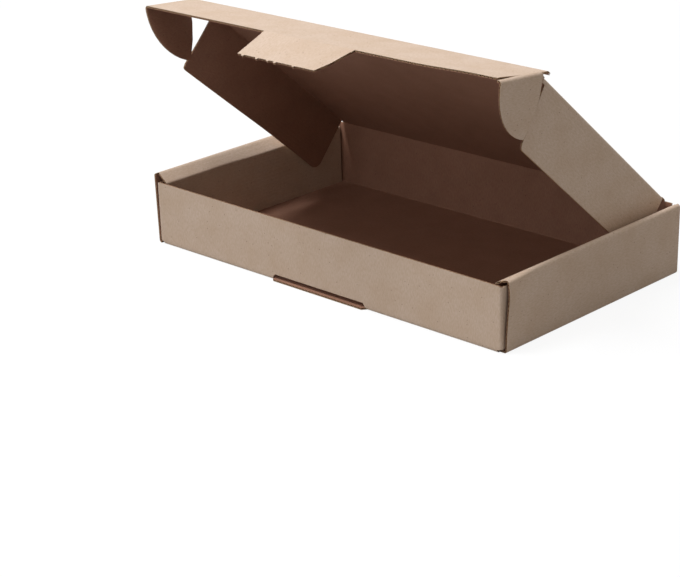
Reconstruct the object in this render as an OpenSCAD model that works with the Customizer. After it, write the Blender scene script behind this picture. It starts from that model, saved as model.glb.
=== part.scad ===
// A postal box folded from one die-cut sheet of thin corrugated board.
// The tray stands on the ground, its width runs along X and its front faces -Y.
// The origin is the middle of the tray's underside.
// The lid is drawn standing open, with its front flap, ears, side flaps and locking tab.

/* [Board] */
// Thickness of the corrugated board
board_t = 1.6; // [1.2:0.1:2]
// Radius of a fold, to the middle of the board
fold_r = 1.6; // [1.2:0.1:2.4]
// Gap round the rounded edge that a moving panel turns on
crease_gap = 0.15; // [0.1:0.01:0.2]

/* [Tray] */
// Width over the outer side walls, at the base
box_w = 351; // [250:1:450]
// Depth from the front wall's face to the back wall's face
box_d = 199; // [150:1:300]
// Height of the rolled side walls
side_h = 53.9; // [46:0.1:70]
// Height of the front wall
front_h = 49.7; // [42:0.1:66]
// Height of the back wall, to the top of the lid's hinge fold
back_h = 54.7; // [47:0.1:71]
// Width of a rolled side wall, from its outer to its inner face
roll_w = 10.3; // [9:0.1:14]
// Angle at which the outer side walls lean out
side_lean = 1.2; // [0:0.1:2.5]
// How far the left wall's top slopes down to its inner side
left_drop = 2.5; // [0:0.1:4]
// How far the right wall's top slopes down to its inner side
right_drop = 4; // [0:0.1:4]
// Gap between a rolled side wall's end and the front or back wall
roll_end_gap = 1.5; // [1:0.1:4]
// Room left beside an ear in its pocket, on each face
pocket_gap = 0.35; // [0.3:0.05:0.6]
// Length of the dust flaps that are tucked into the side walls
dust_l = 58; // [30:1:70]

/* [Floor locks] */
// Length of an inner wall's locking tab
lock_l = 24; // [12:1:36]
// Distance of the locking tabs from the middle of the box
lock_y = 40; // [25:1:55]
// Gap round a locking tab in its floor slot
lock_gap = 0.6; // [0.3:0.1:1]

/* [Front slot] */
// Width of the slot for the lid's tab, at its top
slot_w = 90; // [80:1:110]
// How far each end of the slot runs out towards its foot
slot_flare = 3.6; // [0:0.1:8]
// Height of the slot's top above the ground
slot_h = 4.8; // [4.6:0.1:7]

/* [Lid] */
// Length of the lid, from hinge fold to front fold
lid_l = 199.6; // [150:0.1:301]
// Angle at which the lid stands open
lid_open = 41.1; // [30:0.1:60]
// Gap between a side flap and the inner side wall
nest_gap = 2; // [1:0.1:4]
// Length of the wide strip behind the front fold
shoulder_l = 3; // [2:0.1:4]

/* [Front flap] */
// Height of the front flap, from the front fold to the tab's fold
flap_h = 47.6; // [40:0.1:64]
// Angle of the front flap below the line of the lid
flap_fold = 36.7; // [25:0.1:45]

/* [Ears] */
// How far an ear reaches out from its fold
ear_l = 46; // [30:1:50]
// Distance of an ear's root from the front fold
ear_root = 4.2; // [3.6:0.1:6]
// How far the lid side of an ear runs forward at its tip
ear_slant = 8.2; // [7:0.1:12]
// Angle of the left ear from the line of the front flap
left_ear_fold = 100.5; // [90:0.5:106]
// Angle of the right ear from the line of the front flap
right_ear_fold = 98.5; // [90:0.5:106]

/* [Side flaps] */
// Height of a side flap, from the middle of the lid
side_flap_h = 48.4; // [40:0.1:48.6]
// Distance of a side flap's front end from the front fold
side_flap_front = 12.2; // [12:0.1:20]
// Distance of a side flap's rear end from the hinge fold
side_flap_rear = 4; // [3:0.1:10]
// How far a side flap's front edge slants back at its foot
side_flap_slant = 9; // [6:0.1:14]
// Corner radius at the front of a side flap's foot
side_flap_r = 4; // [1:0.5:8]
// Corner radius at the rear of a side flap's foot
side_flap_rear_r = 8; // [2:0.5:12]

/* [Locking tab] */
// Width of the tab at its fold
tab_w = 88.4; // [60:0.1:88.8]
// Length of the tab
tab_l = 32.5; // [20:0.5:40]
// How far each side of the tab runs in at its end
tab_taper = 5.4; // [2:0.1:10]
// Angle of the tab below the line of the front flap
tab_fold = 20; // [10:1:30]

/* [Wear] */
// Length of the crushed edge at the front right corner
dent_l = 31; // [10:1:45]
// Depth of the crushed edge, down the outer side wall
dent_h = 8; // [3:0.5:12]
// Width of the crushed edge, across the top of the side wall
dent_w = 3.2; // [1:0.1:5]
// How far the top of the outer wall's front end is pushed back there
dent_push = 4; // [0:0.5:8]
// Height of the torn points that are left on the tab's end
burr = 1.1; // [0.5:0.1:2]

/* [Hidden] */
$fn = 48;
kraft = [0.68, 0.57, 0.46];
kraft_light = [0.78, 0.67, 0.56];
kraft_deep = [0.56, 0.46, 0.37];
half_t = board_t / 2;
bend_steps = 6;
// The middle of the outer side wall, and of each layer inside it
outer_x = box_w / 2 - half_t;
ear_x = outer_x - board_t - pocket_gap;
dust_x = ear_x - board_t - pocket_gap;
inner_face_x = box_w / 2 - roll_w;
inner_x = inner_face_x + half_t;
// The folds of the lid and the flaps
side_fold_x = inner_face_x - nest_gap - half_t;
hinge_y = box_d / 2 - half_t;
hinge_z = back_h - half_t;
flap_half_w = ear_x + half_t;
// The rolled walls, and the height at which the dust flaps start
roll_front = -box_d / 2 + board_t + roll_end_gap;
roll_back = box_d / 2 - board_t - roll_end_gap;
dust_lift = 1.4;
dust_z = board_t + dust_lift;
dust_taper = 4;
dust_head = 0.6;
dust_sink = 4.2;
lock_tuck = 0.3;
// How far the floor's cut edge stands back from the front wall's face, in the slot
sill_back = 0.5;
// The half circle that a crease is cut back to, and the bevel that lets it close
crease_r = half_t + crease_gap;
bevel_foot = half_t + 1.25 * crease_gap;
bevel_run = 0.75 * half_t;
// The front flap's free edge beside the tab, which the tab's fold runs just past
flap_edge = flap_h - 0.4;
// The outline of the lid's shoulder and of the ears
shoulder_run = 0.6;
ear_centre = 6;
ear_reach = flap_edge - ear_centre;
ear_straight = 0.37 * ear_l;
ear_bend = 0.65 * ear_l;
ear_bend_slant = ear_slant / 3;
ear_round = 3;
ear_tip_chamfer = 1;
// Half of the crushed edge, where it has almost faded out
dent_mid_w = 0.7 * dent_w;
dent_mid_h = 0.8 * dent_h;
// How far the cut that crushes it starts outside the wall
dent_clear = 4;
// The torn points along the tab's end, as shares of its width, and where its corner starts
burr_places = [-0.86, -0.5, -0.22, -0.04, 0.42];
burr_half_w = 1.6;
tab_corner = 0.63 * tab_l;
// Extra reach of a cut past the face that it goes through
slip = 0.01;

// Stations along the middle of a bent sheet. A leg is [length, turn at its end].
function stations(legs, i = 0, p = [0, 0], a = 0) =
    i == len(legs) ? [] :
    let (
        q = p + legs[i][0] * [cos(a), sin(a)],
        turn = legs[i][1],
        side = sign(turn),
        centre = q + side * fold_r * [-sin(a), cos(a)],
        after = turn == 0 ? q : centre + side * fold_r * [sin(a + turn), -cos(a + turn)]
    )
    concat(
        i == 0 ? [[p, a]] : [],
        [[q, a]],
        turn == 0 ? [] : [for (k = [1:bend_steps])
            let (b = a + turn * k / bend_steps)
            [centre + side * fold_r * [sin(b), -cos(b)], b]],
        stations(legs, i + 1, after, a + turn)
    );

// The outline of a sheet of board that follows its stations
function sheet_outline(st) = concat(
    [for (s = st) s[0] + half_t * [-sin(s[1]), cos(s[1])]],
    [for (i = [len(st) - 1:-1:0]) st[i][0] - half_t * [-sin(st[i][1]), cos(st[i][1])]]
);

// A bent sheet as it is seen from the end, drawn out along X from low to high
module sheet_along_x(legs, start, low, high) {
    rotate([90, 0, 90])
        translate([start[0], start[1], low])
            linear_extrude(high - low)
                polygon(sheet_outline(stations(legs)));
}

// The same sheet, drawn out along Y
module sheet_along_y(legs, start, low, high) {
    translate([0, high, 0])
        rotate([90, 0, 0])
            translate([start[0], start[1], 0])
                linear_extrude(high - low)
                    polygon(sheet_outline(stations(legs)));
}

// Points of a rounded corner
function corner(centre, r, from, to) = [for (k = [0:bend_steps])
    let (a = from + (to - from) * k / bend_steps)
    centre + r * [cos(a), sin(a)]];

// A flat panel of board, centred on its own middle plane
module panel(points) {
    linear_extrude(board_t, center = true)
        polygon(points);
}

// The rounded edge that a panel turns on, along X or along Y
module bead_x(low, high, r = half_t) {
    translate([low, 0, 0])
        rotate([0, 90, 0])
            cylinder(h = high - low, r = r);
}

module bead_y(low, high, r = half_t) {
    translate([0, low, 0])
        rotate([-90, 0, 0])
            cylinder(h = high - low, r = r);
}

// The bevel cut on one face of a panel's root, which lets the fold close past a right angle.
// The panel runs away along +X and the bevel takes its face at -Z.
module root_bevel(low, high) {
    translate([0, high, 0])
        rotate([90, 0, 0])
            linear_extrude(high - low)
                polygon([[-board_t, slip], [bevel_foot, slip], [bevel_foot + bevel_run, -half_t - slip],
                    [-board_t, -half_t - slip]]);
}

// Root of a panel that runs away along -Y from a fold on the X axis
module root_cut_x(half_w, both_faces) {
    bead_x(-half_w, half_w, crease_r);
    rotate([0, 0, -90])
        root_bevel(-half_w, half_w);
    if (both_faces)
        mirror([0, 0, 1])
            rotate([0, 0, -90])
                root_bevel(-half_w, half_w);
}

// Both hands of a thing drawn for the right
module both_sides() {
    children();
    mirror([1, 0, 0])
        children();
}

// The rest positions: each frame is drawn flat and turned at its own fold
module at_lid() {
    translate([0, hinge_y, hinge_z])
        rotate([-lid_open, 0, 0])
            children();
}

module at_front_flap() {
    at_lid()
        translate([0, -lid_l, 0])
            rotate([flap_fold, 0, 0])
                children();
}

module tray_floor() {
    floor_w = outer_x - fold_r;
    floor_d = hinge_y - fold_r;
    difference() {
        translate([-floor_w, -floor_d, 0])
            cube([2 * floor_w, 2 * floor_d, board_t]);
        both_sides()
            for (y = [-lock_y, lock_y])
                translate([inner_x - half_t - lock_gap / 2, y - lock_l / 2 - lock_gap, -slip])
                    cube([board_t + lock_gap, lock_l + 2 * lock_gap, board_t + 2 * slip]);
    }
}

module front_wall() {
    half_w = dust_x - fold_r;
    foot = hinge_y - 2 * fold_r;
    difference() {
        mirror([0, 1, 0])
            sheet_along_x([[fold_r, 90], [front_h - half_t - fold_r, 0]], [foot, half_t], -half_w, half_w);
        front_slot();
    }
}

// The slot is cut through the front fold, above the floor's own edge
module front_slot() {
    top = slot_w / 2;
    foot = top + slot_flare;
    translate([0, -box_d / 2 + board_t + fold_r, 0])
        rotate([90, 0, 0])
            linear_extrude(2 * board_t + 2 * fold_r)
                polygon([[-foot, board_t], [foot, board_t], [top, slot_h], [-top, slot_h]]);
}

// The floor's cut edge, which runs on under the slot as far as the wall's face
module slot_sill() {
    sill_w = slot_w / 2 + slot_flare;
    translate([-sill_w, -box_d / 2 + sill_back, 0])
        cube([2 * sill_w, board_t + fold_r, board_t]);
}

module back_wall() {
    half_w = dust_x - fold_r;
    foot = hinge_y - 2 * fold_r;
    sheet_along_x([[fold_r, 90], [hinge_z - half_t - fold_r, 0]], [foot, half_t], -half_w, half_w);
    translate([0, hinge_y, hinge_z])
        bead_x(-side_fold_x, side_fold_x);
}

// A dust flap turns back at the end of the front or back wall and lies inside the side wall
module dust_flap(wall_h) {
    top = wall_h - dust_head;
    translate([dust_x - fold_r, -hinge_y + fold_r, 0])
        rotate([0, 0, -90])
            rotate_extrude(angle = 90)
                translate([fold_r - half_t, dust_z])
                    square([board_t, top - dust_z]);
    translate([dust_x - half_t, -hinge_y + fold_r, 0])
        rotate([90, 0, 90])
            linear_extrude(board_t)
                polygon([[0, dust_z], [dust_l, dust_z + dust_taper], [dust_l, top - dust_taper], [0, top]]);
}

// A side wall is rolled over: up the outside, down across its sloping top and down the inside
module rolled_wall(drop) {
    start_x = outer_x - 2 * fold_r;
    rise = (side_h - board_t - 2 * fold_r) / cos(side_lean);
    run = outer_x + rise * sin(side_lean) - 2 * fold_r - inner_x;
    slope = atan2(drop, run);
    fall = side_h - half_t - fold_r - drop - board_t;
    sheet_along_y([[fold_r, 90 - side_lean], [rise, 90 + side_lean + slope], [norm([run, drop]), 90 - slope],
        [fall, 0]], [start_x, half_t], roll_front, roll_back);
    for (y = [-lock_y, lock_y])
        translate([inner_x - half_t, y - lock_l / 2, lock_tuck])
            cube([board_t, lock_l, board_t]);
}

// Corner points of the crushed edge: on the top, and down the outer face
function dent_points(inset) = [
    [box_w / 2 + dent_lean(side_h) - dent_w, roll_front - inset, side_h],
    [box_w / 2 + dent_lean(side_h - dent_h), roll_front - inset, side_h - dent_h],
    [box_w / 2 + dent_lean(side_h) - dent_mid_w, roll_front + dent_l / 2, side_h],
    [box_w / 2 + dent_lean(side_h - dent_mid_h), roll_front + dent_l / 2, side_h - dent_mid_h],
    [box_w / 2 + dent_lean(side_h), roll_front + dent_l, side_h]
];
function dent_lean(z) = z * tan(side_lean);

// All that the crushed edge takes away
module dent_cut() {
    beyond = box_w / 2 + dent_clear;
    front = roll_front - board_t;
    above = side_h + board_t;
    rear = roll_front + dent_l;
    outer_points = [[beyond, front, above], [beyond, front, side_h - dent_h], [beyond, rear, above]];
    hull()
        for (p = concat(dent_points(board_t), outer_points))
            translate(p)
                cube(slip, center = true);
}

// The blow has pushed the outer wall's front end back, most at its top
module dent_end_cut() {
    translate([outer_x - half_t - slip, roll_front, 0])
        rotate([90, 0, 90])
            linear_extrude(dent_w + board_t + slip)
                polygon([[-slip, fold_r + half_t], [dent_push, side_h - dent_h],
                    [dent_push, side_h + slip], [-slip, side_h + slip]]);
}

// The board that is folded in behind the crushed edge
module dent_skin() {
    hull()
        for (p = dent_points(0), into = [0, 1])
            translate(p - [into * board_t, 0, into * board_t / 2])
                cube(slip, center = true);
}

module tray() {
    color(kraft) {
        difference() {
            union() {
                tray_floor();
                front_wall();
                slot_sill();
                back_wall();
                both_sides() {
                    dust_flap(front_h);
                    mirror([0, 1, 0])
                        dust_flap(side_h - dust_sink);
                }
                rolled_wall(right_drop);
                mirror([1, 0, 0])
                    rolled_wall(left_drop);
            }
            dent_cut();
            dent_end_cut();
        }
        dent_skin();
    }
}

// The lid panel, with the rounded edges that its side flaps turn on
module lid() {
    shoulder = lid_l - shoulder_l;
    notch = side_fold_x + half_t;
    right = [[side_fold_x, 0], [side_fold_x, -lid_l + side_flap_front], [notch, -lid_l + side_flap_front],
        [notch + half_t, -shoulder + shoulder_run], [flap_half_w, -shoulder], [flap_half_w, -lid_l]];
    left = [for (i = [len(right) - 1:-1:0]) [-right[i][0], right[i][1]]];
    color(kraft)
        at_lid()
            difference() {
                union() {
                    panel(concat(right, left));
                    both_sides()
                        translate([side_fold_x, 0, 0])
                            bead_y(-lid_l + side_flap_front, -side_flap_rear);
                }
                root_cut_x(box_w / 2, true);
                translate([0, -lid_l, 0])
                    bead_x(-box_w / 2, box_w / 2, crease_r);
            }
}

// The scored crease between the lid and its front flap
module front_crease() {
    color(kraft_deep)
        at_front_flap()
            bead_x(-flap_half_w, flap_half_w);
}

module front_flap() {
    tab_half = tab_w / 2;
    right = [[ear_x, 0], [ear_x, -flap_edge], [tab_half, -flap_edge], [tab_half, -flap_h]];
    left = [for (i = [len(right) - 1:-1:0]) [-right[i][0], right[i][1]]];
    color(kraft_light)
        at_front_flap()
            difference() {
                union() {
                    panel(concat(right, left));
                    both_sides()
                        translate([ear_x, 0, 0])
                            bead_y(-flap_edge, -ear_root);
                    translate([0, -flap_h, 0])
                        bead_x(-tab_half, tab_half);
                }
                root_cut_x(box_w / 2, true);
            }
}

// An ear: a quarter of an ellipse whose lid side slants clear of the side flap
module ear(fold) {
    tip = ear_root + ear_slant;
    curve = [for (a = [90:-7.5:15]) [ear_l * cos(a), -ear_centre - ear_reach * sin(a)]];
    lid_side = [[ear_l - ear_tip_chamfer, -tip - ear_tip_chamfer], [ear_l - ear_round, -tip],
        [ear_bend, -ear_root - ear_bend_slant], [ear_straight, -ear_root]];
    at_front_flap()
        translate([ear_x, 0, 0])
            rotate([0, fold, 0])
                difference() {
                    panel(concat([[0, -ear_root], [0, -flap_edge]], curve, lid_side));
                    bead_y(-box_d, 0, crease_r);
                    root_bevel(-box_d, 0);
                }
}

module left_ear() {
    color(kraft_deep)
        mirror([1, 0, 0])
            ear(left_ear_fold);
}

module right_ear() {
    color(kraft_deep)
        ear(right_ear_fold);
}

// A side flap hangs square from the lid's side fold
module side_flap() {
    front = -lid_l + side_flap_front;
    foot = side_flap_h;
    front_r = side_flap_r;
    rear_r = side_flap_rear_r;
    root = [[0, -side_flap_rear], [0, front], [foot / 2, front]];
    front_corner = corner([foot - front_r, front + side_flap_slant + front_r], front_r, -90, 0);
    rear_corner = corner([foot - rear_r, -side_flap_rear - rear_r], rear_r, 0, 90);
    at_lid()
        translate([side_fold_x, 0, 0])
            rotate([0, 90, 0])
                difference() {
                    panel(concat(root, front_corner, rear_corner));
                    bead_y(-2 * lid_l, 0, crease_r);
                    root_bevel(-2 * lid_l, 0);
                }
}

module left_side_flap() {
    color(kraft)
        mirror([1, 0, 0])
            side_flap();
}

module right_side_flap() {
    color(kraft)
        side_flap();
}

// The tab tapers to an end that still has the torn points of its cut, and its right corner is cut off
module locking_tab() {
    base = tab_w / 2 - crease_gap;
    end = tab_w / 2 - tab_taper;
    burrs = [for (place = burr_places, k = [-1, 0, 1])
        [place * end + burr_half_w * k, -tab_l - (k == 0 ? burr : 0)]];
    corner_points = [[end - tab_taper / 2, -tab_l], [base - tab_taper / 3, -tab_corner]];
    color(kraft_light)
        at_front_flap()
            translate([0, -flap_h, 0])
                rotate([tab_fold, 0, 0])
                    difference() {
                        panel(concat([[base, 0], [-base, 0], [-end, -tab_l]], burrs, corner_points));
                        root_cut_x(box_w / 2, false);
                    }
}

tray();
lid();
front_crease();
front_flap();
left_ear();
right_ear();
left_side_flap();
right_side_flap();
locking_tab();
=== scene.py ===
# %% [markdown]
# # A mailer box of corrugated kraft board
#
# The real box is one die-cut sheet of thin corrugated board, folded into a tray with a hinged lid.
# The CAD model gives every panel its place and every fold its axis.
# Here each panel is made again as real board: two paper liners with a wavy sheet of paper between them.
# Flat blanks are cut first and then folded, in the order in which the real box is made.

# %% Load the frame
import bpy
import numpy as np
from math import ceil, cos, floor, pi, radians, sin, tan
from mathutils import Matrix, Vector


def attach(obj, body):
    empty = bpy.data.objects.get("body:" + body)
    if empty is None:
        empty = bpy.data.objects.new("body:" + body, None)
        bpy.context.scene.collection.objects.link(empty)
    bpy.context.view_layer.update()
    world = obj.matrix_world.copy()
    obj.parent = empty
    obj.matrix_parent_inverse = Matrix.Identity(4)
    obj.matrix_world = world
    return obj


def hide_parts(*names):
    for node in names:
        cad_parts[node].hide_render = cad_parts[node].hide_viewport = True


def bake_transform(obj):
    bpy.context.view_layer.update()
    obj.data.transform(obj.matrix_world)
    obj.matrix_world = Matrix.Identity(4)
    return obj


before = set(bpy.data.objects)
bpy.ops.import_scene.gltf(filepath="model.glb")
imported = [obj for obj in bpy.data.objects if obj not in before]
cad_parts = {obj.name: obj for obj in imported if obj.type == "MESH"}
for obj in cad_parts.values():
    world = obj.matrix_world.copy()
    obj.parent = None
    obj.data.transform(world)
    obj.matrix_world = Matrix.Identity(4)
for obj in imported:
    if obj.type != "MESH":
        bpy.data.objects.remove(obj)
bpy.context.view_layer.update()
print("CAD nodes:", sorted(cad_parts))

# %% [markdown]
# ## Sizes
#
# The sizes are those of the CAD source, in millimetres.
# A drawing in millimetres is easier to read, so the pieces are made in millimetres too.
# They are scaled to metres when they are put in place.

# %% Sizes of the board and the box
BOARD = 1.6
FOLD_R = 1.6
OUTER_X = 174.7
DUST_X = 170.8
EAR_X = 172.75
INNER_X = 166.0
SIDE_FOLD_X = 162.4
HINGE_Y = 98.7
HINGE_Z = 53.9
SIDE_H = 53.9
FRONT_H = 49.7
LID_L = 199.6
FLAP_H = 47.6
FLAP_EDGE = 47.2
ROLL_END = 96.4

# %% Angles at rest
LID_OPEN = 41.1
FLAP_FOLD = 36.7
TAB_FOLD = 20.0
LEFT_EAR = 100.5
RIGHT_EAR = 98.5
SIDE_LEAN = 1.2

# %% [markdown]
# ## Frames
#
# Each panel is drawn flat in a frame of its own, and the frame is turned at its fold.
# A frame is a 4 x 4 matrix: where the panel's origin is, and which way it faces.

# %% Frames of the lid and its flaps
def move(x, y, z):
    return Matrix.Translation((x, y, z))


def turn(degrees, axis):
    return Matrix.Rotation(radians(degrees), 4, axis)


AT_TRAY = Matrix.Identity(4)
AT_LID = move(0, HINGE_Y, HINGE_Z) @ turn(-LID_OPEN, "X")
AT_HINGE = move(0, HINGE_Y, HINGE_Z) @ turn(-90, "X")
AT_FRONT_FOLD = AT_LID @ move(0, -LID_L, 0)
AT_FLAP = AT_FRONT_FOLD @ turn(FLAP_FOLD, "X")
AT_TAB_FOLD = AT_FLAP @ move(0, -FLAP_H, 0)
AT_TAB = AT_TAB_FOLD @ turn(TAB_FOLD, "X")
AT_SIDE_FOLD = AT_LID @ move(SIDE_FOLD_X, 0, 0)
MIRROR = Matrix.Scale(-1, 4, (1, 0, 0))
MM = Matrix.Scale(0.001, 4)
print("front fold at", [round(v, 1) for v in AT_FRONT_FOLD.translation])

# %% [markdown]
# ## Materials
#
# Kraft liner is unbleached paper: long brown fibres pressed on a machine, dull, with small specks of bark.
# The side that faces in is darker and redder. Part of that is a cheaper sheet, and part is painted shade
# for the dim inside of the box.
# The wavy sheet between them is the fluting medium, darker again.
# One small function adds a node with its settings and links, and one turns a hex colour to linear.

# %% Helpers for materials
def linear(hex_colour):
    """An sRGB hex colour as the linear colour that a shader takes."""
    values = [int(hex_colour[i:i + 2], 16) / 255 for i in (1, 3, 5)]
    return [v / 12.92 if v <= 0.04045 else ((v + 0.055) / 1.055) ** 2.4 for v in values] + [1.0]


def add_node(tree, kind, inputs=None, **settings):
    """Adds a node. An input that is given as another node's socket is linked."""
    made = tree.nodes.new(kind)
    for name, value in settings.items():
        setattr(made, name, value)
    for name, value in (inputs or {}).items():
        if isinstance(value, bpy.types.NodeSocket):
            tree.links.new(value, made.inputs[name])
        else:
            made.inputs[name].default_value = value
    return made


def new_material(name):
    """An empty material with its output node."""
    material = bpy.data.materials.new(name)
    material.use_nodes = True
    material.node_tree.nodes.clear()
    return material, material.node_tree, material.node_tree.nodes.new("ShaderNodeOutputMaterial")


# %% [markdown]
# ### Kraft liner
#
# The pattern has to run with the sheet round its folds, so it reads the sheet's own flat coordinates.
# Each blank keeps them in a UV map, in metres, from before it is folded.
# Broad clouds, as in all pulp, are about 25 mm across.
# Fibres are 1 to 3 mm long. They are drawn a little coarser, so that they show as a faint grain.
# The flutes behind the liner print through it as very faint stripes, one for each flute.

# %% Kraft liner
FLUTE_PITCH = 3.3
CLOUDS_PER_M = 40.0
FIBRE_LAYERS = ((0.7, 1300.0), (-0.8, 1100.0))
SPECK_CELLS_PER_M = 300.0
SPECK_SHARE = 0.82
BANDS_AT_SCALE_ONE = 3.183
FLUTE_PRINT = 0.6


def kraft_liner(name, main, cloud, fibre, speck):
    material, tree, output = new_material(name)
    sheet = add_node(tree, "ShaderNodeUVMap", uv_map="flat_sheet").outputs[0]
    clouds = add_node(tree, "ShaderNodeTexNoise", {"Vector": sheet, "Scale": CLOUDS_PER_M,
        "Detail": 5.0, "Roughness": 0.62}).outputs[0]
    cloud_mix = add_node(tree, "ShaderNodeMapRange", {"Value": clouds, "From Min": 0.36, "From Max": 0.66})
    ground = add_node(tree, "ShaderNodeMix", {"Factor": cloud_mix.outputs[0], 6: linear(main),
        7: linear(cloud)}, data_type="RGBA").outputs[2]
    grains = []
    for slant, scale in FIBRE_LAYERS:
        turned = add_node(tree, "ShaderNodeMapping", {"Vector": sheet, "Rotation": (0, 0, slant),
            "Scale": (1.0, 0.3, 1.0)}).outputs[0]
        grains.append(add_node(tree, "ShaderNodeTexNoise", {"Vector": turned, "Scale": scale, "Detail": 3.0,
            "Roughness": 0.6}).outputs[0])
    grain = add_node(tree, "ShaderNodeMath", {0: grains[0], 1: grains[1]}, operation="MULTIPLY").outputs[0]
    fibres = add_node(tree, "ShaderNodeMapRange", {"Value": grain, "From Min": 0.31, "From Max": 0.17,
        "To Max": 0.4}).outputs[0]
    fibred = add_node(tree, "ShaderNodeMix", {"Factor": fibres, 6: ground, 7: linear(fibre)},
        data_type="RGBA").outputs[2]
    cells = add_node(tree, "ShaderNodeTexVoronoi", {"Vector": sheet, "Scale": SPECK_CELLS_PER_M,
        "Randomness": 1.0})
    rare = add_node(tree, "ShaderNodeSeparateColor", {0: cells.outputs["Color"]}).outputs[0]
    chosen = add_node(tree, "ShaderNodeMath", {0: rare, 1: SPECK_SHARE},
        operation="GREATER_THAN").outputs[0]
    near = add_node(tree, "ShaderNodeMapRange", {"Value": cells.outputs["Distance"], "From Min": 0.17,
        "From Max": 0.09}).outputs[0]
    dots = add_node(tree, "ShaderNodeMath", {0: chosen, 1: near}, operation="MULTIPLY").outputs[0]
    faint = add_node(tree, "ShaderNodeMath", {0: dots, 1: 0.5}, operation="MULTIPLY").outputs[0]
    specked = add_node(tree, "ShaderNodeMix", {"Factor": faint, 6: fibred, 7: linear(speck)},
        data_type="RGBA").outputs[2]
    bands = add_node(tree, "ShaderNodeTexWave", {"Vector": sheet,
        "Scale": 1000.0 / FLUTE_PITCH / BANDS_AT_SCALE_ONE, "Distortion": 0.4, "Detail": 1.0},
        wave_type="BANDS", bands_direction="X").outputs["Fac"]
    height = add_node(tree, "ShaderNodeMath", {0: bands, 1: FLUTE_PRINT, 2: fibres},
        operation="MULTIPLY_ADD").outputs[0]
    bump = add_node(tree, "ShaderNodeBump", {"Height": height, "Strength": 0.25,
        "Distance": 0.0002}).outputs[0]
    rough = add_node(tree, "ShaderNodeMapRange", {"Value": clouds, "To Min": 0.6,
        "To Max": 0.75}).outputs[0]
    shader = add_node(tree, "ShaderNodeBsdfPrincipled", {"Base Color": specked, "Roughness": rough,
        "IOR": 1.5, "Normal": bump})
    tree.links.new(shader.outputs[0], output.inputs["Surface"])
    return material


kraft_outside = kraft_liner("kraft_liner_outside", "#c3ad9a", "#bca48e", "#a88e75", "#5f4431")
# The inside liner is a cheaper sheet, and its colours are darkened further as painted shade for the dim
# inside of the box.
kraft_inside_painted_shade = kraft_liner("kraft_liner_inside_painted_shade", "#946b56", "#8c644f", "#78523e", "#3a2519")
print("liners:", kraft_outside.name, kraft_inside_painted_shade.name)

# %% [markdown]
# ### Fluting medium
#
# The wavy sheet is recycled paper, greyer and rougher than the liners. Only its cut edge shows.

# %% Fluting medium
def fluting_medium():
    material, tree, output = new_material("fluting_medium")
    place = add_node(tree, "ShaderNodeTexCoord").outputs["Object"]
    pulp = add_node(tree, "ShaderNodeTexNoise", {"Vector": place, "Scale": 900.0, "Detail": 3.0}).outputs[0]
    shade = add_node(tree, "ShaderNodeMix", {"Factor": pulp, 6: linear("#9c7b5c"), 7: linear("#b39370")},
        data_type="RGBA").outputs[2]
    shader = add_node(tree, "ShaderNodeBsdfPrincipled", {"Base Color": shade, "Roughness": 0.9,
        "IOR": 1.45, "Specular IOR Level": 0.25})
    tree.links.new(shader.outputs[0], output.inputs["Surface"])
    return material


medium = fluting_medium()

# %% [markdown]
# ## Board
#
# A blank starts as three flat sheets: two planes for the liners and a grid for the medium.
# The grid has six columns for each flute. Two of them go up and two go down, which makes the wave.
# The flutes of a die-cut box all run one way. Here that is Y on every flat blank.
# The sheets have no thickness until they have been cut, because a cut is simplest through a flat sheet.

# %% Selecting and editing
def only(piece):
    """Selects one object and nothing else."""
    bpy.ops.object.select_all(action="DESELECT")
    piece.select_set(True)
    bpy.context.view_layer.objects.active = piece


def edit(piece, kind="VERT", chosen=None):
    """Opens a piece in edit mode with the chosen vertices or faces selected, or with all of it."""
    only(piece)
    mesh = piece.data
    bpy.ops.object.mode_set(mode="EDIT")
    bpy.ops.mesh.select_mode(type=kind)
    bpy.ops.mesh.select_all(action="SELECT" if chosen is None else "DESELECT")
    if chosen is not None:
        bpy.ops.object.mode_set(mode="OBJECT")
        elements = mesh.vertices if kind == "VERT" else mesh.polygons
        elements.foreach_set("select", np.asarray(chosen, bool))
        bpy.ops.object.mode_set(mode="EDIT")


def done():
    bpy.ops.object.mode_set(mode="OBJECT")


def points_of(piece):
    """The mesh's vertices as rows of x, y, z."""
    flat = np.empty(len(piece.data.vertices) * 3)
    piece.data.vertices.foreach_get("co", flat)
    return flat.reshape(-1, 3)


def set_points(piece, points):
    piece.data.vertices.foreach_set("co", np.asarray(points, float).ravel())
    piece.data.update()


# %% Flat blanks
LINER = 0.25
MEDIUM = 0.2
LINER_Z = BOARD / 2 - LINER / 2
WAVE = LINER_Z - LINER / 2 - MEDIUM / 2
COLUMNS = 6


def flat_sheet(x_low, x_high, y_low, y_high, z, columns=1):
    """One sheet of paper, as a grid of the given size."""
    bpy.ops.object.select_all(action="DESELECT")
    bpy.ops.mesh.primitive_grid_add(x_subdivisions=columns, y_subdivisions=1, size=1)
    sheet = bpy.context.object
    sheet.scale = (x_high - x_low, y_high - y_low, 1)
    sheet.location = ((x_low + x_high) / 2, (y_low + y_high) / 2, z)
    bpy.ops.object.transform_apply(location=True, rotation=True, scale=True)
    return sheet


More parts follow.
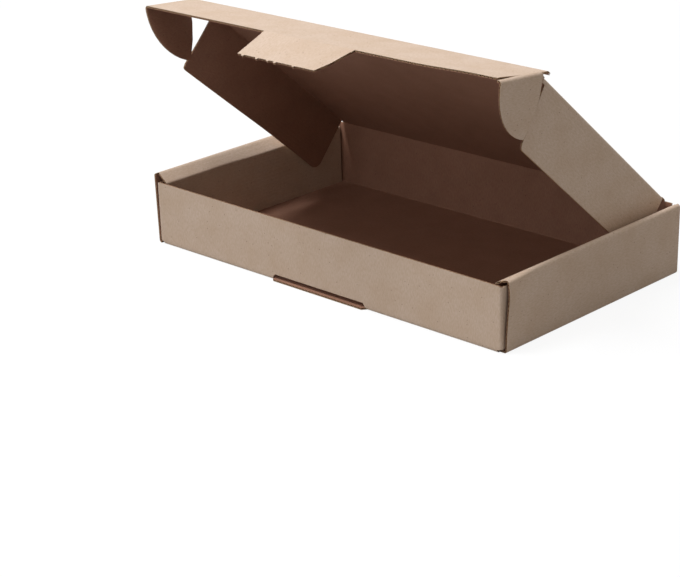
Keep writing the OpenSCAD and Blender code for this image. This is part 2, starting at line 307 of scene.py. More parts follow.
def blank(name, x_low, x_high, y_low, y_high, top=kraft_outside, under=kraft_inside_painted_shade):
    """A flat blank of board, still without thickness: two liners and the wavy medium."""
    first = floor(x_low / FLUTE_PITCH)
    count = ceil(x_high / FLUTE_PITCH) - first
    left = first * FLUTE_PITCH
    wave = flat_sheet(left, left + count * FLUTE_PITCH, y_low, y_high, 0, count * COLUMNS)
    phase = np.rint((points_of(wave)[:, 0] - left) / FLUTE_PITCH * COLUMNS).astype(int) % COLUMNS
    for chosen, height in (((1, 2), WAVE), ((4, 5), -WAVE)):
        edit(wave, "VERT", np.isin(phase, chosen))
        bpy.ops.transform.translate(value=(0, 0, height))
        done()
    wave.data.materials.append(medium)
    upper = flat_sheet(x_low, x_high, y_low, y_high, LINER_Z)
    upper.data.materials.append(top)
    lower = flat_sheet(x_low, x_high, y_low, y_high, -LINER_Z)
    lower.data.materials.append(under)
    bpy.ops.object.select_all(action="DESELECT")
    for sheet in (wave, lower, upper):
        sheet.select_set(True)
    bpy.context.view_layer.objects.active = upper
    bpy.ops.object.join()
    upper.name = name
    upper.data.name = name
    return trim(upper, [(x_low, y_low), (x_high, y_low), (x_high, y_high), (x_low, y_high)])


# %% [markdown]
# ### Cutting
#
# A bisect cuts a sheet along a line.
# To trim a blank to its outline, what lies outside each line is cleared.
# To punch a hole, the sheet is only divided along the hole's sides, and the faces inside are deleted.
# Outlines run anticlockwise, so the outside is always on the right of a line.
# Bisect takes no number over 1 in its direction, so each direction is made one unit long.

# %% Trim, punch and divide
def side_lines(outline):
    """For each side of an outline, a point on it and the direction that points out of it."""
    for a, b in zip(outline, outline[1:] + outline[:1]):
        yield (a[0], a[1], 0), tuple(Vector((b[1] - a[1], a[0] - b[0], 0)).normalized())


def trim(piece, outline):
    """Cuts away all that lies outside a convex outline."""
    edit(piece)
    for point, out in side_lines(outline):
        bpy.ops.mesh.select_all(action="SELECT")
        bpy.ops.mesh.bisect(plane_co=point, plane_no=out, clear_outer=True)
    done()
    return piece


def punch(piece, outline):
    """Cuts a convex hole."""
    edit(piece)
    for point, out in side_lines(outline):
        bpy.ops.mesh.select_all(action="SELECT")
        bpy.ops.mesh.bisect(plane_co=point, plane_no=out)
    done()
    centres = np.array([face.center for face in piece.data.polygons])
    inside = np.ones(len(centres), bool)
    for point, out in side_lines(outline):
        inside &= (centres - np.array(point)) @ np.array(out) < 0
    edit(piece, "FACE", inside)
    bpy.ops.mesh.delete(type="FACE")
    done()
    return piece


def divide(piece, across=(), along=()):
    """Adds lines of vertices: across at each y, along at each x. The sheet can bend at them."""
    edit(piece)
    for places, normal in ((across, (0, 1, 0)), (along, (1, 0, 0))):
        for place in places:
            bpy.ops.mesh.select_all(action="SELECT")
            bpy.ops.mesh.bisect(plane_co=(normal[0] * place, normal[1] * place, 0), plane_no=normal)
    done()
    return piece


# %% [markdown]
# ### Thickness
#
# Solidify gives each sheet the thickness of its paper, half to each side.
# The flat coordinates are written to the UV map now, before anything is folded.

# %% Thickness and flat coordinates
def thicken(piece):
    """Gives the sheets of a blank their thickness and keeps their flat coordinates."""
    only(piece)
    solid = piece.modifiers.new("paper", "SOLIDIFY")
    solid.thickness = LINER
    solid.offset = 0
    bpy.ops.object.modifier_apply(modifier="paper")
    points = points_of(piece)
    corners = np.empty(len(piece.data.loops), int)
    piece.data.loops.foreach_get("vertex_index", corners)
    layer = piece.data.uv_layers.get("flat_sheet") or piece.data.uv_layers.new(name="flat_sheet")
    layer.data.foreach_set("uv", (points[corners, :2] / 1000).ravel())
    for other in [uv for uv in piece.data.uv_layers if uv.name != "flat_sheet"]:
        piece.data.uv_layers.remove(other)
    return piece


# %% [markdown]
# ## Folding
#
# Blender's bend tool needs a window. So a fold is made as it is worked out on paper: the flat distance
# along the sheet becomes a distance along a path of straight legs and round bends.
# Each vertex keeps its height above the sheet, so the board keeps its thickness round the fold.

# %% The path of a fold
def follow(start, heading, legs, distance, height, radius=FOLD_R):
    """Points at these distances along a path and these heights to its left.
    A leg is (length, turn at its end in degrees), and a turn to the left is positive."""
    distance = np.maximum(distance, 0)
    out = np.empty((len(distance), 2))
    place, angle, gone = np.array(start, float), radians(heading), 0.0
    for length, degrees in list(legs) + [(1e6, 0)]:
        ahead = np.array([cos(angle), sin(angle)])
        left = np.array([-ahead[1], ahead[0]])
        straight = distance >= gone
        along = np.outer(distance[straight] - gone, ahead)
        out[straight] = place + along + np.outer(height[straight], left)
        place, gone = place + length * ahead, gone + length
        if degrees:
            way = 1 if degrees > 0 else -1
            centre = place + way * radius * left
            bent = distance > gone
            turned = angle + way * (distance[bent] - gone) / radius
            outward = np.stack([np.sin(turned), -np.cos(turned)], 1)
            out[bent] = centre + outward * (way * radius - height[bent])[:, None]
            angle += radians(degrees)
            place = centre + way * radius * np.array([sin(angle), -cos(angle)])
            gone += radius * abs(radians(degrees))
    return out


def bend_lines(legs, steps=6, radius=FOLD_R):
    """The distances at which a sheet has to be divided so that it can bend round a path."""
    lines, gone = [], 0.0
    for length, degrees in legs:
        gone += length
        if degrees:
            arc = radius * abs(radians(degrees))
            lines += [gone + arc * k / steps for k in range(steps + 1)]
            gone += arc
    return lines


def fold_x(piece, start, heading, legs):
    """Folds about lines along X: the distance runs along flat -Y, and the path lies in -Y and Z."""
    flat = points_of(piece)
    path = follow(start, heading, legs, -flat[:, 1], flat[:, 2])
    set_points(piece, np.stack([flat[:, 0], -path[:, 0], path[:, 1]], 1))
    return piece


def fold_y(piece, start, heading, legs, flat_start):
    """Folds about lines along Y: the distance runs along flat X, and the path lies in X and Z."""
    flat = points_of(piece)
    path = follow(start, heading, legs, flat[:, 0] - flat_start, flat[:, 2])
    set_points(piece, np.stack([path[:, 0], flat[:, 1], path[:, 1]], 1))
    return piece


def fold_z(piece, start, heading, legs, flat_start, radius=FOLD_R):
    """Folds about upright lines: the distance runs along flat X, and the path lies in X and Y."""
    flat = points_of(piece)
    path = follow(start, heading, legs, flat[:, 0] - flat_start, flat[:, 2], radius)
    set_points(piece, np.stack([path[:, 0], path[:, 1], flat[:, 1]], 1))
    return piece


# %% Putting a piece in its place
def put(piece, where, mirrored=False):
    """Places a piece that was made in millimetres, with its object left at the origin."""
    piece.data.transform(MM @ (MIRROR @ where if mirrored else where))
    if mirrored:
        edit(piece)
        bpy.ops.mesh.flip_normals()
        done()
    only(piece)
    bpy.ops.object.shade_smooth_by_angle(angle=radians(50))
    return piece


def join(name, pieces):
    """Makes one object of several."""
    bpy.ops.object.select_all(action="DESELECT")
    for piece in pieces:
        piece.select_set(True)
    bpy.context.view_layer.objects.active = pieces[0]
    bpy.ops.object.join()
    pieces[0].name = name
    pieces[0].data.name = name
    return pieces[0]


def count(piece):
    print(piece.name, len(piece.data.polygons), "faces")


# %% [markdown]
# ## Tray
#
# The floor, the front wall and the back wall are one strip of board, folded up at two lines.
# The strip starts at the top of the back wall, so that its upper side is the inside of the box.
# The slot for the lid's tab is cut through the front fold, and the floor's cut edge runs on under it.
# The front wall is a little wider than the floor, and its folds at the corners are tight.
# Its top edge is not quite level, and the cut edge under the slot stands out in front of the wall.

# %% Floor, front wall and back wall
WALL_HALF = DUST_X - FOLD_R
HINGE_STRIP = 3.0
BACK_TOP = HINGE_Z - BOARD / 2
FOLD_FOOT = BOARD / 2 + FOLD_R
ARC = FOLD_R * pi / 2
FLOOR_L = 2 * (HINGE_Y - FOLD_R)
strip_legs = [(BACK_TOP - FOLD_FOOT, 90), (FLOOR_L, 90), (FRONT_H - FOLD_FOOT, 0)]
strip_l = sum(leg[0] for leg in strip_legs) + 2 * ARC
floor_start = strip_legs[0][0] + ARC
front_fold = floor_start + FLOOR_L
SLOT_HALF = 45.0
SLOT_FOOT = 48.6
SLOT_H = 4.8
slot_top = front_fold + ARC + SLOT_H - FOLD_FOOT

TIGHT_R = 0.9
FRONT_DUST_X = 172.3
FRONT_HALF = FRONT_DUST_X - TIGHT_R

strip = blank("tray_strip", -FRONT_HALF, FRONT_HALF, -strip_l, 0, kraft_inside_painted_shade, kraft_outside)
for near, far in ((-FRONT_HALF - 1, -WALL_HALF), (WALL_HALF, FRONT_HALF + 1)):
    punch(strip, [(near, -front_fold - ARC), (far, -front_fold - ARC), (far, 1), (near, 1)])
divide(strip, across=[-d for d in bend_lines(strip_legs)] + [-strip_l + 8 * k for k in range(1, 6)],
    along=[-120, -80, -40, 0, 40, 80, 120])
punch(strip, [(-SLOT_FOOT, -front_fold), (-SLOT_HALF, -slot_top), (SLOT_HALF, -slot_top),
    (SLOT_FOOT, -front_fold)])
hinge_cut = HINGE_STRIP - BOARD / 2
punch(strip, [(-SIDE_FOLD_X, -hinge_cut), (SIDE_FOLD_X, -hinge_cut), (SIDE_FOLD_X, 1), (-SIDE_FOLD_X, 1)])
LOCK_Y = 40.0
LOCK_HALF = 12.0
LOCK_GAP = 0.6
LOCK_SLOT = 2.2
for side in (-1, 1):
    for y in (-LOCK_Y, LOCK_Y):
        middle = -(floor_start + HINGE_Y - FOLD_R - y)
        inner, outer = sorted((side * (INNER_X - LOCK_SLOT / 2), side * (INNER_X + LOCK_SLOT / 2)))
        low, high = middle - LOCK_HALF - LOCK_GAP, middle + LOCK_HALF + LOCK_GAP
        punch(strip, [(inner, low), (outer, low), (outer, high), (inner, high)])
thicken(strip)
fold_x(strip, (-HINGE_Y, BACK_TOP), -90, strip_legs)

LEFT_RISE = 0.5
RIGHT_RISE = -1.2
RISE_FOOT = 10
RISE_SPAN = 38
points = points_of(strip)
tilt = np.interp(points[:, 0], [-WALL_HALF, WALL_HALF], [LEFT_RISE, RIGHT_RISE])
share = np.clip((points[:, 2] - RISE_FOOT) / RISE_SPAN, 0, 1)
points[:, 2] += tilt * share * (points[:, 1] < -HINGE_Y + 3)
set_points(strip, points)

SILL_REACH = 2.8
sill_front = -HINGE_Y - SILL_REACH
sill_rear = -HINGE_Y + FOLD_R
sill = blank("slot_sill", -SLOT_FOOT, SLOT_FOOT, sill_front, sill_rear, kraft_inside_painted_shade, kraft_outside)
trim(sill, [(-SLOT_HALF, sill_front), (SLOT_HALF, sill_front), (SLOT_FOOT, sill_rear),
    (-SLOT_FOOT, sill_rear)])
thicken(sill)
sill.data.transform(move(0, 0, BOARD / 2))
count(strip)

# %% [markdown]
# ### Rolled side walls
#
# Each side wall goes up the outside, over the top and down the inside, and two tabs lock it in the floor.
# The flutes run along these folds, so the wall's ends show the wave of the board going round the roll.
# The top slopes down to its inner side, because the inner panel is pulled tight into the floor.
# Only the outer panel runs on past the end of the roll, so the other panels are cut back to it.

# %% Rolled side walls
def rolled_wall(name, high, drop, front, rear, warp):
    """A side wall: its height, the drop to its inner edge, and the two ends of its outer panel."""
    start_x = WALL_HALF
    foot_leg = OUTER_X - FOLD_R - start_x
    rise = (high - BOARD - 2 * FOLD_R) / cos(radians(SIDE_LEAN))
    run = OUTER_X + rise * sin(radians(SIDE_LEAN)) - 2 * FOLD_R - INNER_X
    top = np.hypot(run, drop)
    slope = np.degrees(np.arctan2(drop, run))
    fall = high - BOARD / 2 - FOLD_R - drop - BOARD
    legs = [(foot_leg, 90 - SIDE_LEAN), (rise, 90 + SIDE_LEAN + slope), (top, 90 - slope), (fall, 0)]
    length = sum(leg[0] for leg in legs) + FOLD_R * radians(270)
    tab = 1.0
    wall = blank(name, start_x, start_x + length + tab, -front, rear, kraft_inside_painted_shade, kraft_outside)
    edge = start_x + length
    over = start_x + foot_leg + rise + 2 * ARC
    for near, far, low, high_y in ((start_x - 1, start_x + foot_leg, -front - 1, -ROLL_END),
            (over, edge + 2, -front - 1, -ROLL_END), (start_x - 1, start_x + foot_leg, ROLL_END, rear + 1),
            (over, edge + 2, ROLL_END, rear + 1)):
        punch(wall, [(near, low), (far, low), (far, high_y), (near, high_y)])
    tabs = (-LOCK_Y - LOCK_HALF, -LOCK_Y + LOCK_HALF, LOCK_Y - LOCK_HALF, LOCK_Y + LOCK_HALF)
    for low, high in ((-ROLL_END - 1, tabs[0]), (tabs[1], tabs[2]), (tabs[3], ROLL_END + 1)):
        punch(wall, [(edge, low), (edge + tab + 1, low), (edge + tab + 1, high), (edge, high)])
    lines = [start_x + d for d in bend_lines(legs)]
    panels = [start_x + foot_leg + 5 * k for k in range(2, 20)]
    divide(wall, across=[-90, -84, -78, -72, -66, -60, -50, -40, -30, -20, -10, 0, 10, 20, 35, 50, 70],
        along=lines + panels)
    thicken(wall)
    fold_y(wall, (start_x, BOARD / 2), 0, legs, start_x)
    set_points(wall, warp(points_of(wall)))
    return wall


def ease(t):
    """0 before 0, 1 after 1, and a smooth step between."""
    t = np.clip(t, 0, 1)
    return t * t * (3 - 2 * t)


# %% [markdown]
# The right wall has had a knock at its front: the top outer edge is crushed down and pushed in.
# The left wall's top has worked loose, and its inner edge wanders a little.

# %% Wear of the two walls
CRUSH_DOWN = 2.6
CRUSH_IN = 1.6
CRUSH_BACK = 3.2


def crushed(points):
    x, y, z = points.T
    near = ease((-62 - y) / 34)
    high = ease((z - 40) / 14)
    outer = ease((x - 169) / 6)
    points[:, 2] -= CRUSH_DOWN * near * high * outer
    points[:, 0] -= CRUSH_IN * near * high * outer
    points[:, 1] += CRUSH_BACK * ease((-84 - y) / 12) * ease((z - 4) / 50) * ease((x - 171) / 2)
    return points


def loosened(points):
    x, y, z = points.T
    inner = ease((171 - x) / 5) * ease((z - 6) / 45)
    wander = np.interp(y, [-96, -60, -32, -9, 18, 60, 96], [0.0, 0.3, 1.0, 0.2, -0.3, 0.2, 0.0])
    points[:, 0] += inner * wander
    sag = np.interp(y, [-96, -32, -9, 18, 96], [0.0, 0.2, 0.8, 0.9, 0.5])
    points[:, 2] -= sag * ease((171 - x) / 5) * ease((z - 40) / 12)
    return points


LONG_END = 98.8
LEFT_SPRING = 3.1
right_roll = rolled_wall("right_roll", SIDE_H, 4.0, ROLL_END, LONG_END, crushed)
left_roll = rolled_wall("left_roll", SIDE_H + LEFT_SPRING, 5.8, LONG_END, ROLL_END, loosened)
put(left_roll, Matrix.Scale(1000, 4), mirrored=True)
count(right_roll)

# %% [markdown]
# ### Dust flaps
#
# At each end of the front and back walls a flap turns back into the side wall.
# Its fold shows at the box's corners, and the rest is hidden.

# %% Dust flaps
DUST_L = 58.0
DUST_Z = 3.0


def dust_flap(name, height, front, mirrored):
    top = height - 0.6
    start, radius, slant = (FRONT_HALF, TIGHT_R, 6) if front else (WALL_HALF, FOLD_R, 0)
    legs = [(0, 90 + slant), (14, -slant), (DUST_L - 14, 0)]
    length = radius * radians(90 + 2 * slant) + DUST_L
    flap = blank(name, start, start + length, DUST_Z, top, kraft_inside_painted_shade, kraft_outside)
    trim(flap, [(start, DUST_Z), (start + ARC, DUST_Z), (start + length, DUST_Z + 4),
        (start + length, top - 4), (start + ARC, top), (start, top)])
    divide(flap, along=[start + d for d in bend_lines(legs, radius=radius)])
    thicken(flap)
    fold_z(flap, (start, -HINGE_Y), 0, legs, start, radius)
    if front:
        points = points_of(flap)
        share = np.clip((points[:, 2] - RISE_FOOT) / RISE_SPAN, 0, 1)
        points[:, 2] += (LEFT_RISE if mirrored else RIGHT_RISE) * share
        set_points(flap, points)
    where = Matrix.Identity(4) if front else Matrix.Scale(-1, 4, (0, 1, 0))
    if mirrored:
        where = MIRROR @ where
    flap.data.transform(where)
    if where.determinant() < 0:
        edit(flap)
        bpy.ops.mesh.flip_normals()
        done()
    return flap


dust_flaps = [dust_flap(f"dust_flap_{i}", FRONT_H if front else SIDE_H - 4.2, front, mirrored)
    for i, (front, mirrored) in enumerate([(True, False), (True, True), (False, False), (False, True)])]

tray = join("tray_board", [strip, sill, right_roll, left_roll] + dust_flaps)
put(tray, AT_TRAY)
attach(tray, "tray")
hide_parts("tray")
count(tray)

# %% [markdown]
# ## Lid
#
# The lid is a flat panel. Its front is a little wider than the rest, because the shoulders beside the
# front fold carry the flap over the side walls. The folds round it are separate strips, made further down.

# %% Lid panel
SIDE_STRIP = 3.0
REAR_STRIP = 4.0
SHOULDER = 3.0
FLAP_FRONT = 12.2
NOTCH_X = SIDE_FOLD_X + BOARD / 2
inner_half = SIDE_FOLD_X - SIDE_STRIP

lid_main = blank("lid_panel", -inner_half, inner_half, -LID_L + SHOULDER, -REAR_STRIP)
divide(lid_main, across=[-20 * k for k in range(1, 10)], along=[-120, -80, -40, 0, 40, 80, 120])
shoulders = []
for side in (-1, 1):
    near, far = sorted((side * inner_half, side * (NOTCH_X + 0.8)))
    corner = blank(f"lid_shoulder_{side + 1}", near, far, -LID_L + SHOULDER, -LID_L + FLAP_FRONT)
    slant = [(side * NOTCH_X, -LID_L + FLAP_FRONT), (side * inner_half, -LID_L + FLAP_FRONT),
        (side * inner_half, -LID_L + SHOULDER), (side * (NOTCH_X + 0.8), -LID_L + SHOULDER)]
    trim(corner, slant if side > 0 else slant[::-1])
    shoulders.append(corner)
lid = thicken(join("lid_board", [lid_main] + shoulders))
put(lid, AT_LID)
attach(lid, "lid")
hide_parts("lid")
count(lid)

# %% [markdown]
# ## Front flap
#
# The flap is a long rectangle with a notch where the locking tab's fold strip joins it.
# Its right end has curled up a little with handling.

# %% Front flap panel
FLAP_ROOT = 4.2
TAB_HALF = 44.2
TAB_STRIP = 2.5
EAR_STRIP = 3.0
flap_half = EAR_X - EAR_STRIP

flap = blank("front_flap_board", -flap_half, flap_half, -FLAP_EDGE, -FLAP_ROOT)
punch(flap, [(-TAB_HALF, -FLAP_EDGE - 1), (TAB_HALF, -FLAP_EDGE - 1), (TAB_HALF, -FLAP_H + TAB_STRIP),
    (-TAB_HALF, -FLAP_H + TAB_STRIP)])
divide(flap, across=[-12, -20, -28, -36, -42], along=[100, 112, 124, 136, 148, 160])
thicken(flap)


def curl(points):
    """Lifts the right end of the flap's free edge."""
    x, y, z = points.T
    points[:, 2] += 1.5 * ease((x - 95) / 60) * ease((-y - 22) / 25)
    return points


set_points(flap, curl(points_of(flap)))
put(flap, AT_FLAP)
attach(flap, "front_flap")
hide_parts("front_flap")
count(flap)

# %% [markdown]
# ## Ears
#
# An ear is a quarter of an oval. It goes in the pocket between the layers of the side wall.
# The left ear leans in at its end, as thin board does when it has been bent by hand.

# %% Ears
EAR_L = 46.0
EAR_ROOT = 4.2
EAR_SLANT = 8.2
EAR_CENTRE = 6.0


def ear(name, fold, lean, mirrored):
    reach = FLAP_EDGE - EAR_CENTRE
    tip = EAR_ROOT + EAR_SLANT
    curve = [(EAR_L * cos(radians(a)), -EAR_CENTRE - reach * sin(radians(a)))
        for a in np.arange(82.5, 14, -7.5)]
    lid_side = [(EAR_L - 1, -tip - 1), (EAR_L - 3, -tip), (0.65 * EAR_L, -EAR_ROOT - EAR_SLANT / 3),
        (0.37 * EAR_L, -EAR_ROOT), (EAR_STRIP, -EAR_ROOT)]
    piece = blank(name, EAR_STRIP, EAR_L, -FLAP_EDGE, -EAR_ROOT)
    trim(piece, [(EAR_STRIP, -FLAP_EDGE)] + curve + lid_side)
    divide(piece, along=[8, 14, 20, 26, 32, 38, 42])
    thicken(piece)
    points = points_of(piece)
    points[:, 2] -= lean * (np.clip(points[:, 0] - EAR_STRIP, 0, None) / EAR_L) ** 2
    set_points(piece, points)
    put(piece, AT_FLAP @ move(EAR_X, 0, 0) @ turn(fold, "Y"), mirrored)
    body = "left_ear" if mirrored else "right_ear"
    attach(piece, body)
    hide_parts(body)
    return piece


left_ear = ear("left_ear_board", LEFT_EAR, 4.5, True)
right_ear = ear("right_ear_board", RIGHT_EAR, 0.3, False)
count(left_ear)

# %% [markdown]
# ## Side flaps
#
# A flap hangs from each side of the lid and goes inside the tray.
# The front of the left one is bent outwards, where it is clear of the tray.

# %% Side flaps
SIDE_FLAP_H = 48.4
SIDE_FLAP_REAR = 4.0
SIDE_FLAP_SLANT = 9.0


def arc_points(centre, radius, start, end, steps=6):
    angles = [radians(start + (end - start) * k / steps) for k in range(steps + 1)]
    return [(centre[0] + radius * cos(a), centre[1] + radius * sin(a)) for a in angles]


def side_flap(name, splay, mirrored):
    front = -LID_L + FLAP_FRONT
    foot = SIDE_FLAP_H
    outline = [(SIDE_STRIP, -SIDE_FLAP_REAR), (SIDE_STRIP, front), (foot / 2, front)]
    outline += arc_points((foot - 4, front + SIDE_FLAP_SLANT + 4), 4, -90, 0)
    outline += arc_points((foot - 8, -SIDE_FLAP_REAR - 8), 8, 0, 90)
    piece = blank(name, SIDE_STRIP, foot, front, -SIDE_FLAP_REAR)
    trim(piece, outline)
    divide(piece, across=[-10 * k for k in range(1, 19)], along=[8, 16, 24, 32, 40])
    thicken(piece)
    points = points_of(piece)
    forward = ease((-points[:, 1] - 60) / 140)
    outward = splay * forward + 0.2 * splay * ease((-points[:, 1] - 60) / 60)
    points[:, 2] += outward * (np.clip(points[:, 0] - SIDE_STRIP, 0, None) / foot) ** 1.3
    set_points(piece, points)
    put(piece, AT_SIDE_FOLD @ turn(90, "Y"), mirrored)
    body = "left_side_flap" if mirrored else "right_side_flap"
    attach(piece, body)
    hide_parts(body)
    return piece


left_side = side_flap("left_side_flap_board", 9.0, True)
right_side = side_flap("right_side_flap_board", 0.0, False)
count(left_side)

# %% [markdown]
# ## Locking tab
#
# The tab's end has been in and out of its slot, and the cut is ragged. One corner is cut off.

# %% Locking tab
TAB_L = 32.5
TAB_TAPER = 5.4
TAB_ROOT = 3.0


def locking_tab():
    base = TAB_HALF - 0.15
    end = TAB_HALF - TAB_TAPER
    corner_y = 0.63 * TAB_L
    root = base - TAB_TAPER * TAB_ROOT / TAB_L
    piece = blank("locking_tab_board", -base, base, -TAB_L, -TAB_ROOT)
    trim(piece, [(-root, -TAB_ROOT), (-end, -TAB_L), (end - TAB_TAPER / 2, -TAB_L),
        (base - TAB_TAPER * 0.63, -corner_y), (root, -TAB_ROOT)])
    burrs = [(-0.86, 1.1), (-0.5, 1.3), (-0.22, 1.0), (-0.04, 1.2), (0.42, 0.9)]
    divide(piece, across=[-TAB_L + 0.8, -TAB_L + 2.4, -20], along=[place * end + step for place, _ in burrs
        for step in (-1.6, -0.5, 0.5, 1.6)])
    thicken(piece)
    points = points_of(piece)
    for place, length in burrs:
        near = np.abs(points[:, 0] - place * end) < 0.6
        tip = near & (points[:, 1] < -TAB_L + 0.3)
        points[tip, 1] -= length
        points[tip, 2] -= 0.3 * length
    set_points(piece, points)
    return put(piece, AT_TAB)


tab = locking_tab()
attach(tab, "locking_tab")
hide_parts("locking_tab")
count(tab)

# %% [markdown]
# ## Moving folds
#
# Each fold that moves is a short strip of the same board, bent to the angle that it has in the photograph.
# The front fold has a crease of its own between lid and flap, so it is made in two halves.

# %% Fold strips
def strip_x(name, where, half, before, after, bend, cut_low=0.0, cut_high=1.0):
    """A strip that folds down about X: before and after are its lengths on each side of the fold."""
    tangent = FOLD_R * tan(radians(bend) / 2)
    legs = [(before - tangent, -bend), (after - tangent, 0)]
    length = before + after - 2 * tangent + FOLD_R * radians(bend)
    low, high = -length * cut_high, -length * cut_low
    piece = blank(name, -half, half, low, high)
    divide(piece, across=[-d for d in bend_lines(legs, 8)])
    thicken(piece)
    fold_x(piece, (-before, 0), 0, legs)
    return put(piece, where)


def point(where, x, y, z):
    """A point of a panel's frame, in metres."""
    return tuple(MM @ (where @ Vector((x, y, z))))


hinge = strip_x("hinge_fold", AT_HINGE, SIDE_FOLD_X, HINGE_STRIP, REAR_STRIP, 90 - LID_OPEN)
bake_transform(hinge)
fold_half = EAR_X + BOARD / 2
bisector = 0.5 - (FLAP_ROOT - SHOULDER) / 2 / (FLAP_ROOT + SHOULDER)
front_strip = (AT_FRONT_FOLD, fold_half, SHOULDER, FLAP_ROOT, FLAP_FOLD)
lid_half = strip_x("front_fold_lid_half", *front_strip, 0, bisector)
flap_side = strip_x("front_fold_flap_half", *front_strip, bisector, 1)
middle = point(AT_FRONT_FOLD, 0, 0, 0)
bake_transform(lid_half)
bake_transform(flap_side)
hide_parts("front_crease")
tab_fold = strip_x("tab_fold", AT_TAB_FOLD, TAB_HALF, TAB_STRIP, TAB_ROOT, TAB_FOLD)
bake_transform(tab_fold)


# %% Strips that fold about Y
def strip_y(name, where, low, high, reach, bend, flat_x, mirrored):
    """A strip that folds down about Y, with the same reach on both sides of the fold."""
    tangent = FOLD_R * tan(radians(bend) / 2)
    legs = [(reach - tangent, -bend), (reach - tangent, 0)]
    length = 2 * (reach - tangent) + FOLD_R * radians(bend)
    piece = blank(name, flat_x - reach, flat_x - reach + length, low, high)
    divide(piece, along=[flat_x - reach + d for d in bend_lines(legs, 8)])
    thicken(piece)
    fold_y(piece, (-reach, 0), 0, legs, flat_x - reach)
    return put(piece, where, mirrored)


AT_EAR = AT_FLAP @ move(EAR_X, 0, 0)
side_span = (-LID_L + FLAP_FRONT, -SIDE_FLAP_REAR)
ear_span = (-FLAP_EDGE, -EAR_ROOT)
for name, parent, where, (low, high), bend, flat_x in (
        ("right_side_fold", "lid", AT_SIDE_FOLD, side_span, 90, SIDE_FOLD_X),
        ("left_side_fold", "lid", AT_SIDE_FOLD, side_span, 90, SIDE_FOLD_X),
        ("right_ear_fold", "front_flap", AT_EAR, ear_span, RIGHT_EAR, EAR_X),
        ("left_ear_fold", "front_flap", AT_EAR, ear_span, LEFT_EAR, EAR_X)):
    mirrored = name.startswith("left")
    piece = strip_y(name, where, low, high, EAR_STRIP, bend, flat_x, mirrored)
    begin = point(where, -EAR_STRIP, 0, 0)
    finish = point(where @ turn(bend, "Y"), EAR_STRIP, 0, 0)
    if mirrored:
        begin, finish = (-begin[0], *begin[1:]), (-finish[0], *finish[1:])
    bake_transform(piece)

# %% [markdown]
# ## Studio
#
# The photograph has a white ground and soft light from high on the front left.
# The floor is pale grey for the light that it sends back.
# To the camera it is nearly white, with a faint shadow.

# %% Floor and world
def seen_itself(tree):
    """1 for the rays that show the ground itself: from the camera, off gloss or through glass."""
    ray = add_node(tree, "ShaderNodeLightPath")
    seen = ray.outputs["Is Camera Ray"]
    for kind in ("Is Glossy Ray", "Is Transmission Ray"):
        seen = add_node(tree, "ShaderNodeMath", {0: seen, 1: ray.outputs[kind]},
            operation="MAXIMUM").outputs[0]
    return seen


def white_floor():
    material, tree, output = new_material("white_floor")
    seen = seen_itself(tree)
    colour = add_node(tree, "ShaderNodeMix", {"Factor": seen, 6: (0.4, 0.4, 0.4, 1), 7: (0.1, 0.1, 0.1, 1)},
        data_type="RGBA").outputs[2]
    diffuse = add_node(tree, "ShaderNodeBsdfDiffuse", {"Color": colour}).outputs[0]
    glow = add_node(tree, "ShaderNodeMath", {0: seen, 1: 0.9}, operation="MULTIPLY").outputs[0]
    emission = add_node(tree, "ShaderNodeEmission", {"Strength": glow}).outputs[0]
    both = add_node(tree, "ShaderNodeAddShader", {0: diffuse, 1: emission}).outputs[0]
    tree.links.new(both, output.inputs["Surface"])
    return material


bpy.ops.mesh.primitive_plane_add(size=20)
floor_sheet = bpy.context.object
floor_sheet.name = "floor"
floor_sheet.data.materials.append(white_floor())

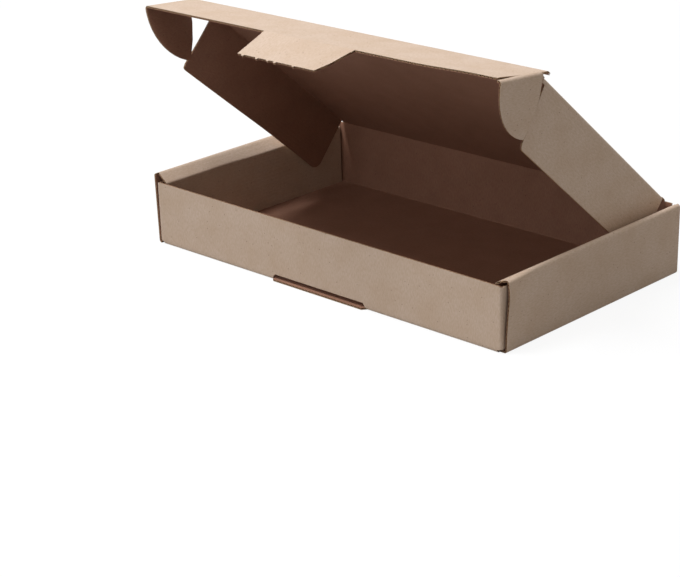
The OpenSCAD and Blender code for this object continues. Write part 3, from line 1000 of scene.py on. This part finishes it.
world = bpy.data.worlds.new("studio")
bpy.context.scene.world = world
world.use_nodes = True
sky = world.node_tree
sky.nodes.clear()
AMBIENT = 0.42
AMBIENT_COLOUR = (1.0, 0.94, 0.87, 1)
seen = seen_itself(sky)
level = add_node(sky, "ShaderNodeMapRange", {"Value": seen, "To Min": AMBIENT, "To Max": 1.0}).outputs[0]
tint = add_node(sky, "ShaderNodeMix", {"Factor": seen, 6: AMBIENT_COLOUR, 7: (1, 1, 1, 1)},
    data_type="RGBA").outputs[2]
background = add_node(sky, "ShaderNodeBackground", {"Strength": level, "Color": tint})
sky.links.new(background.outputs[0], add_node(sky, "ShaderNodeOutputWorld").inputs["Surface"])

# %% [markdown]
# The lamps are large discs, which give the soft edges of the shadows inside the box.
# The main one stands high, so that the floor of the box lies in the shade of its lid.
# Two weak ones, low in front and behind, lift the front wall and the inside of the back wall.
# The lamps are a little cool and the light from all round is warm, as it comes back off brown board.

# %% Lamps
def lamp(name, place, size, power, colour):
    light = bpy.data.lights.new(name, "AREA")
    light.shape = "DISK"
    light.size = size
    light.energy = power
    light.color = colour
    holder = bpy.data.objects.new(name, light)
    bpy.context.scene.collection.objects.link(holder)
    holder.location = place
    holder.rotation_euler = (Vector(place) - Vector((0, 0, 0.08))).to_track_quat("Z", "Y").to_euler()


COOL = (0.97, 1.0, 1.05)
lamp("key", (-0.5, -0.62, 1.9), 0.8, 36, COOL)
lamp("front", (-0.3, -1.8, 0.9), 0.8, 4.0, COOL)
lamp("rear", (0.3, 1.6, 1.3), 0.8, 6.5, COOL)

# %% [markdown]
# ## Camera
#
# The view was solved from the box's own straight edges in the photograph.

# %% Camera
azimuth, elevation, roll = radians(44.81), radians(21.35), radians(-2.02)
back = Vector((sin(azimuth) * cos(elevation), -cos(azimuth) * cos(elevation), sin(elevation)))
right = Vector((cos(azimuth), sin(azimuth), 0))
up = back.cross(right)
FOCAL_PIXELS = 2011.9
PHOTO_WIDTH = 680
camera_data = bpy.data.cameras.new("camera")
camera = bpy.data.objects.new("camera", camera_data)
bpy.context.scene.collection.objects.link(camera)
axes = Matrix((cos(roll) * right + sin(roll) * up, -sin(roll) * right + cos(roll) * up, back)).transposed()
camera.matrix_world = Matrix.Translation((0.97143, -1.05458, 0.5365)) @ axes.to_4x4()
camera_data.sensor_width = 36
camera_data.lens = 36 * FOCAL_PIXELS / PHOTO_WIDTH
camera_data.clip_end = 50
bpy.context.scene.camera = camera
bpy.context.scene.view_settings.view_transform = "Standard"
